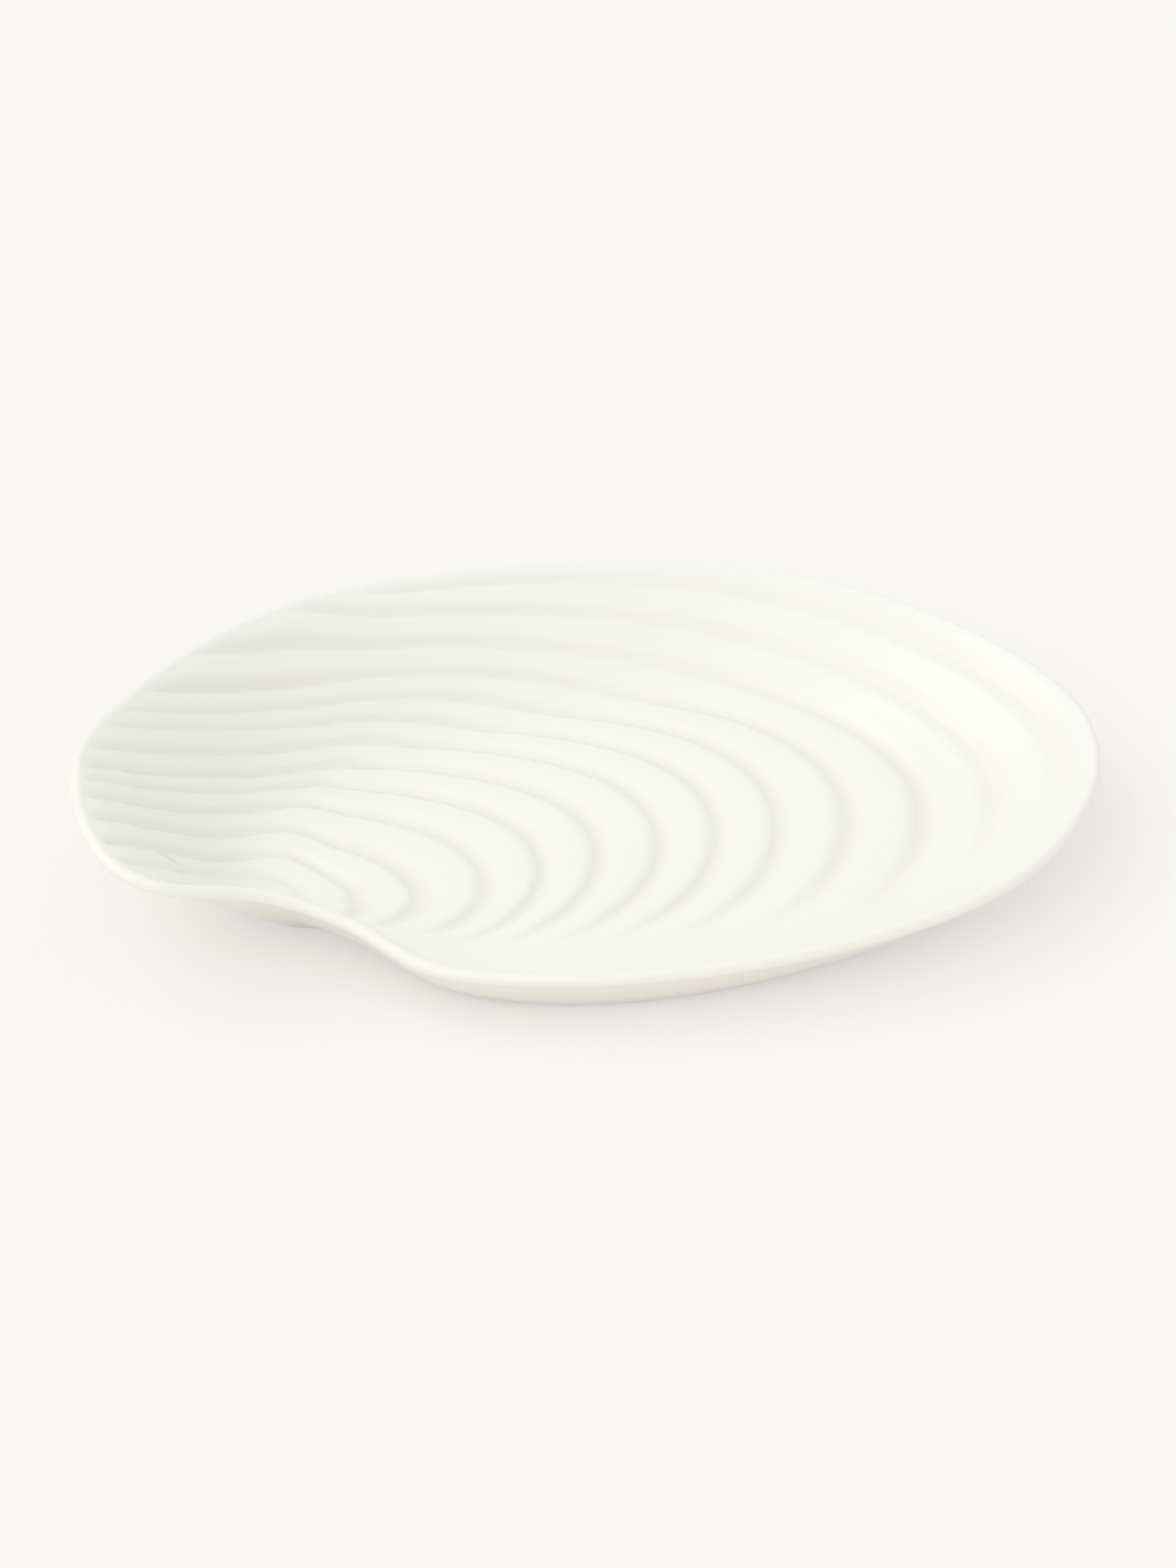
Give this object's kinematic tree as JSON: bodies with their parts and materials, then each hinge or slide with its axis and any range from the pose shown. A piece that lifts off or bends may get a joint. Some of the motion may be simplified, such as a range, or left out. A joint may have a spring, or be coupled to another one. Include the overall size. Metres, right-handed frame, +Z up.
{
  "type": "serving platter",
  "caption": "Shallow shell shaped serving platter in white glazed ceramic, with a high wing at one end, a low near rim and carved growth ripples over the hollow.",
  "frame": {"origin": "middle of the footprint's bounding box, on the surface the platter rests on", "axes": "+X along the length, from the high wing to the round end; +Y from the low near rim to the far rim; +Z up"},
  "size_m": [0.3149, 0.2181, 0.048],
  "materials": {
    "glaze": "gloss"
  },
  "bodies": {
    "root": {"platter": "glaze"}
  },
  "joints": []
}
